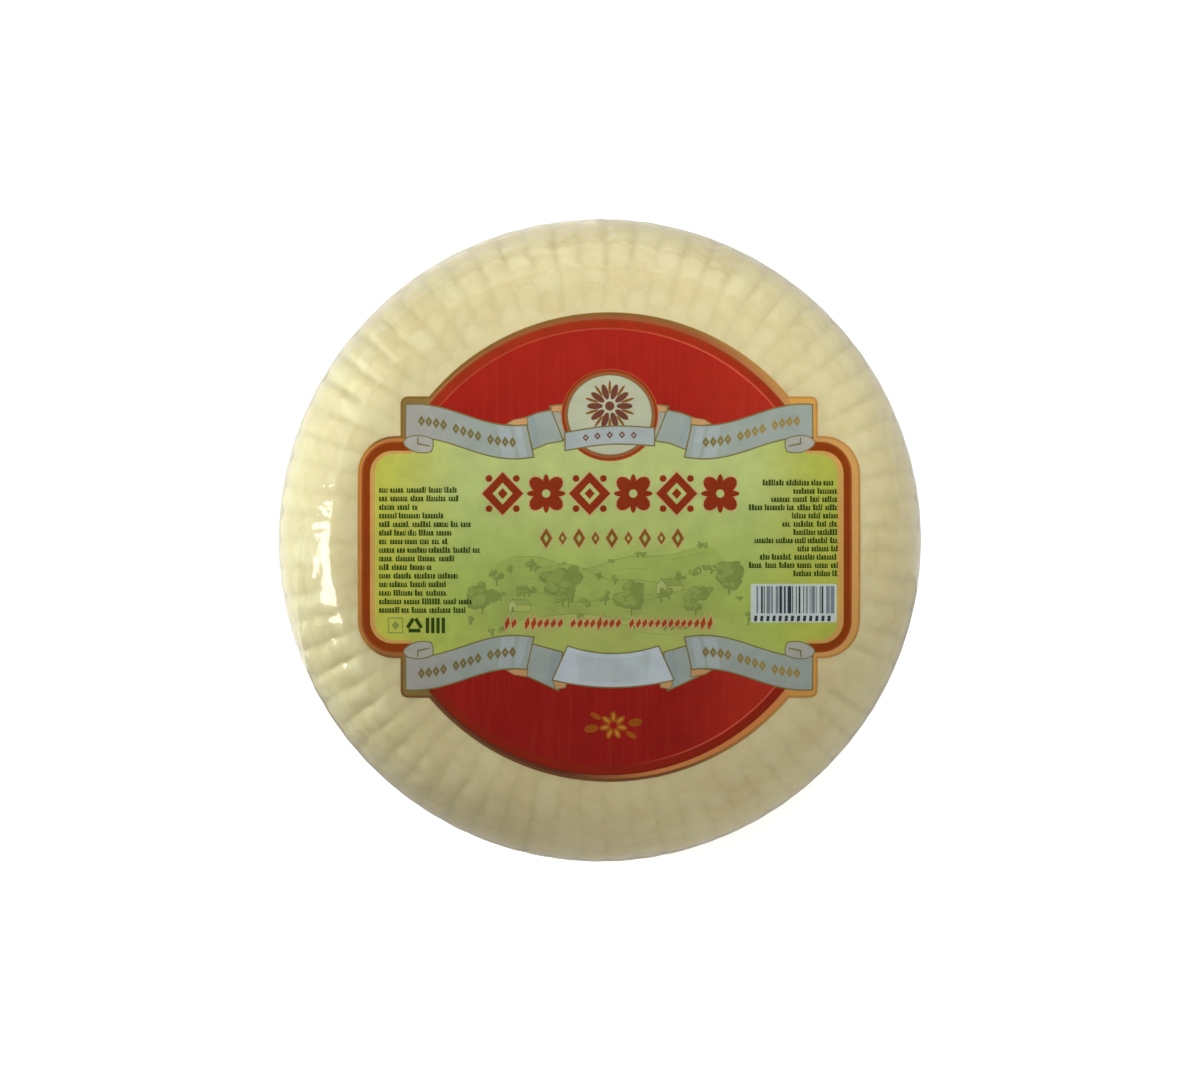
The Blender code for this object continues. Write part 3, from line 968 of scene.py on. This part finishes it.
# Each ink's name, its material, its colour and its runs. Those without a colour here have the
# setting's of their name, and the foil is bronze
INKS = (
    ("paper", "label_paper_edge", "#e8cfa8"),
    # Painted light and shade: the cut edge's runs darken it towards the bottom as painted shade and
    # brighten it towards the right as a painted reflection
    ("cut_edge", "foil_cut_edge_ink", "#9c7738", ("Y", -0.030, -0.060, "#8a6038"),
     ("X", 0.020, 0.070, "#d0a058"), ("X", -0.078, -0.086, "#d09a46")),
    # Painted reflection: the tab's run turns it bright gold towards the right
    ("tab", "foil_tab_ink", "#a0874a", ("X", -0.020, 0.030, "#e6b45e")),
    ("foil", "gold_bronze_ink", ""),
    # Painted light and shade: the rust, ring and line inks run darker towards the bottom as painted
    # shade; the red runs paler towards the top, and the red and the line run paler towards the
    # right, as painted light
    ("rust", "bronzed_rust_ink", "#ad4a20", ("Y", -0.020, -0.070, "#94300f")),
    ("ring", "rust_ink", "#b63a1c", ("Y", 0.040, -0.040, "#a82c14")),
    ("line", "pale_red_ink", "#c65438", ("Y", 0.0, -0.070, "#a8281c"),
     ("X", 0.005, 0.045, "#e0684a")),
    ("red", "brick_red_ink", "", ("Y", 0.0, 0.070, "#ba2a1c"), ("X", 0.022, 0.060, "#c23622")),
    ("copper", "copper_ink", "#b5602c"),
    ("brown", "russet_ink", "#a3490a"),
    ("gold_line", "pale_gold_ink", "#dfb56a"),
    ("edging", "peach_ink", "#d9b98a"),
    # Painted light: the green's first run makes it paler towards the top
    ("green", "spring_green_ink", "", ("Y", -0.026, 0.030, "#cbd791"),
     ("X", -0.045, -0.083, "#d2d35f"), ("X", 0.050, 0.083, "#c6cc5e")),
    ("far_hill", "far_hill_ink", "#b6c76e", *HILL_RUNS),
    ("hill", "hill_ink", "#b3c46c", *HILL_RUNS),
    ("near_hill", "near_hill_ink", "#b0c06a", *HILL_RUNS),
    ("field", "meadow_ink", "#bdc973", *HILL_RUNS),
    ("barn_front", "barn_front_ink", "#c6d088"),
    ("tree", "tree_ink", "#a6b864"),
    ("bush", "bush_ink", "#97a85a"),
    ("sketch", "sketch_line_ink", "#8b9c52"),
    ("ribbon", "ribbon_ink", "", ("X", -0.040, -0.072, "#bab8b0")),
    ("ribbon_light", "ribbon_light_ink", "#bcc6c4"),
    ("ribbon_front", "ribbon_front_ink", "#c8d3d3"),
    ("ribbon_edge", "ribbon_edge_ink", "#d0dade"),
    ("ribbon_shade", "ribbon_shade_ink", "#a9b7b4"),
    ("ribbon_far", "ribbon_far_ink", "#b8baa8"),
    ("ribbon_mark", "ribbon_mark_ink", "#8f8250", ("X", 0.030, 0.065, "#b39c58")),
    ("roll", "rolled_end_ink", "#c0c0b6"),
    ("fold", "fold_ink", "#dbb07a"),
    ("outline", "olive_line_ink", "#8f8350"),
    ("ground", "medallion_ground_ink", "#ccd0b6"),
    ("emblem", "umber_ink", "#84503c"),
    ("title", "title_russet_ink", "#a23c16"),
    ("motto", "burnt_orange_ink", "#b5541c"),
    ("subtitle", "ochre_ink", "#9a6828"),
    ("print", "dark_green_ink", "#3a5210"),
    ("pale", "pale_block_ink", "#d9e2de"),
    ("bars", "bar_ink", "#3d4852"),
    ("grey_bars", "grey_bar_ink", "#8c979f"),
    ("bronze", "dull_bronze_ink", "#b8641c"),
    ("bright_bronze", "bright_bronze_ink", "#d89a3c"))


def label_inks(settings):
    """The label's materials by the names of their inks."""
    inks = {}
    for ink, name, tone, *runs in INKS:
        colour = linear(tone) if tone else getattr(settings, ink, None)
        streaks = 0.22 if ink == "red" else 0.0
        inks[ink] = printed_ink(name, colour, runs, streaks) if colour else bronze_ink(name)
    return inks


def label_height(x, y):
    """Height of the label's upper face, a film's thickness under the film's smooth form."""
    radius = np.hypot(x, y)
    upper = slice(CROWN_STEPS + PART_STEPS + 1)
    along = np.interp(radius, RADIUS[upper], ALONG[upper])
    return top_height(radius) + layers_rise(along) - FILM_OVER_LABEL


def inner_points():
    """A grid of points in millimetres that lets the flat print bend over the crown."""
    reach = np.arange(-94.0, 94.1, PRINT_STEP)
    return [(x, y) for x in reach for y in reach]


def split_long_edges(points):
    """The same closed outline, with more points where an edge has to bend over the crown."""
    finer = []
    for (x0, y0), (x1, y1) in zip(points, points[1:] + points[:1]):
        pieces = max(1, math.ceil(math.hypot(x1 - x0, y1 - y0) / PRINT_STEP))
        for piece in range(pieces):
            share = piece / pieces
            finer.append((x0 + (x1 - x0) * share, y0 + (y1 - y0) * share))
    return finer


def label_mesh(fields, inks, thickness):
    """The print as one mesh: each triangle has the ink of the topmost field that holds it."""
    points = []
    borders = []
    for _, outline in fields:
        border = split_long_edges(anticlockwise(outline))
        borders.append(list(range(len(points), len(points) + len(border))))
        points += border
    points += inner_points()
    flat = [Vector(point) for point in points]
    corners, _, faces, _, _, sources = delaunay_2d_cdt(flat, [], borders, 1, 1e-4)
    names = list(inks)
    places = np.array(corners) * MM + np.array(LABEL_MIDDLE)
    heights = label_height(places[:, 0], places[:, 1])
    builder = bmesh.new()
    verts = [builder.verts.new((x, y, z)) for (x, y), z in zip(places, heights)]
    for face, source in zip(faces, sources):
        if source:
            made = builder.faces.new([verts[index] for index in face])
            made.material_index = names.index(fields[max(source)][0])
            made.smooth = True
    spare = [vert for vert in builder.verts if not vert.link_faces]
    bmesh.ops.delete(builder, geom=spare, context="VERTS")
    top = builder.faces[:]
    lower = bmesh.ops.duplicate(builder, geom=top)["geom"]
    sunk = [part for part in lower if isinstance(part, bmesh.types.BMVert)]
    under = [part for part in lower if isinstance(part, bmesh.types.BMFace)]
    bmesh.ops.translate(builder, verts=sunk, vec=(0.0, 0.0, -thickness))
    bmesh.ops.reverse_faces(builder, faces=under)
    for face in under:
        face.material_index = names.index("paper")
    edges = [edge for edge in builder.edges if edge.is_boundary]
    bmesh.ops.bridge_loops(builder, edges=edges)
    mesh = bpy.data.meshes.new("label_print")
    builder.to_mesh(mesh)
    builder.free()
    for name in names:
        mesh.materials.append(inks[name])
    return mesh


class CHEESE_OT_curd(bpy.types.Operator):
    """Make the pressed curd with its flutes and lumps"""
    bl_idname = "cheese.curd"
    bl_label = "Pressed curd"

    def execute(self, context):
        settings, film = context.scene.cheese_settings, context.scene.film_settings
        rings = side_rings(0.012, 0.00096, CROWN_RADIUS - 0.008)
        obj = skin("pressed_curd", rings, cheese_points(settings, film.gap))
        add_marks(obj, rings)
        obj.data.materials.append(pressed_curd(settings))
        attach(obj, "root")
        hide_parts("cheese_wheel")
        return {"FINISHED"}


def add_marks(obj, rings):
    """Stores how deep in a groove or seam each point lies and its lump's tone, both 0 to 1."""
    theta, along = np.meshgrid(COLUMNS, rings)
    groove, seam, _, _, tone = basket_marks(theta, along)
    side = marks_fade(along, CROWN_END - 0.009, 0.005) * grip_round(theta, along)
    # The cavity share sets how much painted shade the curd gets in its grooves and seams
    cavity = np.clip(0.85 * groove**1.2 + 0.6 * seam, 0.0, 1.0) * side
    for name, values in (("cavity", cavity), ("tone", 0.5 + 0.5 * tone * side)):
        values = np.append(values.reshape(-1), [values[0, 0], values[-1, 0]])
        attribute = obj.data.attributes.new(name, "FLOAT", "POINT")
        attribute.data.foreach_set("value", values.astype(np.float32))


class CHEESE_OT_film(bpy.types.Operator):
    """Make the clear film round the cheese and the label"""
    bl_idname = "cheese.film"
    bl_label = "Shrink film"

    def execute(self, context):
        settings, film = context.scene.cheese_settings, context.scene.film_settings
        rings = side_rings(0.004, 0.0011, CROWN_RADIUS + 0.004)
        obj = skin("shrink_film", rings, film_points(settings, film))
        obj.data.materials.append(shrink_film(film))
        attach(obj, "root")
        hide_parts("cheese_wheel")
        return {"FINISHED"}


class CHEESE_OT_label(bpy.types.Operator):
    """Make the printed label"""
    bl_idname = "cheese.label"
    bl_label = "Printed label"

    def execute(self, context):
        settings = context.scene.label_settings
        mesh = label_mesh(label_fields(), label_inks(settings), settings.thickness)
        obj = linked("printed_label", mesh)
        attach(obj, "root")
        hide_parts("label")
        return {"FINISHED"}


def area_lamp(name, place, aim, size, radiance, colour=(1.0, 1.0, 1.0)):
    """A rectangular soft box. Its power comes from the radiance wanted of its face."""
    data = bpy.data.lights.new(name, "AREA")
    data.shape = "RECTANGLE"
    data.size, data.size_y = size
    data.energy = radiance * math.pi * size[0] * size[1]
    data.color = colour
    obj = linked(name, data)
    obj.location = place
    obj.rotation_euler = (Vector(aim) - Vector(place)).to_track_quat("-Z", "Y").to_euler()
    return obj


def room_light(scene):
    """Even light from all round. Gloss shows a dark ceiling and walls that are a little paler."""
    world = bpy.data.worlds.new("room")
    world.use_nodes = True
    tree = world.node_tree
    path = node(tree, "ShaderNodeLightPath")
    way = node(tree, "ShaderNodeTexCoord").outputs["Generated"]
    height = node(tree, "ShaderNodeSeparateXYZ", {"Vector": way}).outputs["Z"]
    walls = node(tree, "ShaderNodeMapRange", {
        "Value": height, "From Min": 0.10, "From Max": 0.50, "To Min": 0.28, "To Max": 0.10})
    strength = node(tree, "ShaderNodeMapRange", {
        "Value": path.outputs["Is Glossy Ray"], "To Min": 0.67, "To Max": walls.outputs["Result"]})
    tree.links.new(strength.outputs["Result"], tree.nodes["Background"].inputs["Strength"])
    tree.nodes["Background"].inputs["Color"].default_value = (1.0, 0.975, 0.95, 1.0)
    scene.world = world


class CHEESE_OT_stage(bpy.types.Operator):
    """Make the pale table, the soft lamps and the camera straight above"""
    bl_idname = "cheese.stage"
    bl_label = "Stage"

    def execute(self, context):
        scene, settings = context.scene, context.scene.stage_settings
        mesh = bpy.data.meshes.new("table")
        reach = 3.0
        mesh.from_pydata([(-reach, -reach, 0.0), (reach, -reach, 0.0), (reach, reach, 0.0),
                          (-reach, reach, 0.0)], [], [(0, 1, 2, 3)])
        table = linked("table", mesh)
        table.data.materials.append(white_table())
        table.visible_glossy = False
        middle = (0.0, 0.0, 0.05)
        cool = (0.91, 0.99, 1.0)
        shine = (
            area_lamp("strip_left", (-0.46, -0.04, 0.34), (-0.10, 0.0, 0.07), (0.17, 0.18), 14.0),
            area_lamp("board_floor", (0.0, 0.0, 0.002), (0.0, 0.0, 1.0), (2.6, 2.6), 0.26),
            area_lamp("board_left", (-0.42, 0.26, 0.003), (-0.42, 0.26, 1.0), (0.84, 0.64), 1.05),
            area_lamp("board_back", (0.30, 0.28, 0.003), (0.30, 0.28, 1.0), (0.60, 0.60), 0.45))
        for lamp in shine:
            lamp.visible_diffuse = False
            lamp.visible_camera = False
        area_lamp("screen_left", (-0.90, 0.16, 0.42), middle, (1.0, 0.8), 1.4, cool)
        area_lamp("screen_back", (0.0, 1.30, 0.45), middle, (1.6, 0.8), 1.3)
        warm = (1.0, 0.96, 0.93)
        hidden = (
            area_lamp("soft_left", (-0.46, 0.0, 0.34), (-0.06, 0.0, 0.06), (0.18, 0.30), 3.1, cool),
            area_lamp("soft_back", (0.0, 0.16, 0.30), (0.0, 0.09, 0.07), (0.50, 0.16), 1.27),
            area_lamp("soft_above", (0.0, 0.10, 1.00), middle, (0.80, 0.80), 0.73),
            area_lamp("soft_front", (0.30, -0.50, 0.28), middle, (0.50, 0.25), 0.75, warm),
            area_lamp("soft_right", (0.42, 0.10, 0.32), middle, (0.35, 0.30), 0.88))
        for lamp in hidden:
            lamp.visible_glossy = False
        room_light(scene)
        camera = bpy.data.cameras.new("camera_above")
        camera.lens = settings.lens
        camera.sensor_width = 36.0
        obj = linked("camera_above", camera)
        obj.location = (*settings.camera_shift, settings.camera_height)
        scene.camera = obj
        scene.view_settings.view_transform = "Standard"
        return {"FINISHED"}


OPERATORS = (CHEESE_OT_stage, CHEESE_OT_curd, CHEESE_OT_film, CHEESE_OT_label)
SETTINGS = {"cheese_settings": CheeseSettings, "film_settings": FilmSettings,
            "label_settings": LabelSettings, "stage_settings": StageSettings}


class CHEESE_PT_panel(bpy.types.Panel):
    """The cheese wheel's pieces and their settings"""
    bl_idname = "CHEESE_PT_panel"
    bl_label = "Cheese wheel"
    bl_space_type = "VIEW_3D"
    bl_region_type = "UI"
    bl_category = "Cheese"

    def draw(self, context):
        for operator in OPERATORS:
            self.layout.operator(operator.bl_idname)
        for name, group in SETTINGS.items():
            box = self.layout.box()
            for prop in group.__annotations__:
                box.prop(getattr(context.scene, name), prop)


def register():
    for group in (*SETTINGS.values(), *OPERATORS, CHEESE_PT_panel):
        bpy.utils.register_class(group)
    for name, group in SETTINGS.items():
        setattr(bpy.types.Scene, name, bpy.props.PointerProperty(type=group))


def unregister():
    for name in SETTINGS:
        delattr(bpy.types.Scene, name)
    for group in (CHEESE_PT_panel, *OPERATORS[::-1], *list(SETTINGS.values())[::-1]):
        bpy.utils.unregister_class(group)


def main():
    register()
    bpy.ops.cheese.stage()
    bpy.ops.cheese.curd()
    bpy.ops.cheese.film()
    bpy.ops.cheese.label()


if __name__ == "__main__":
    main()
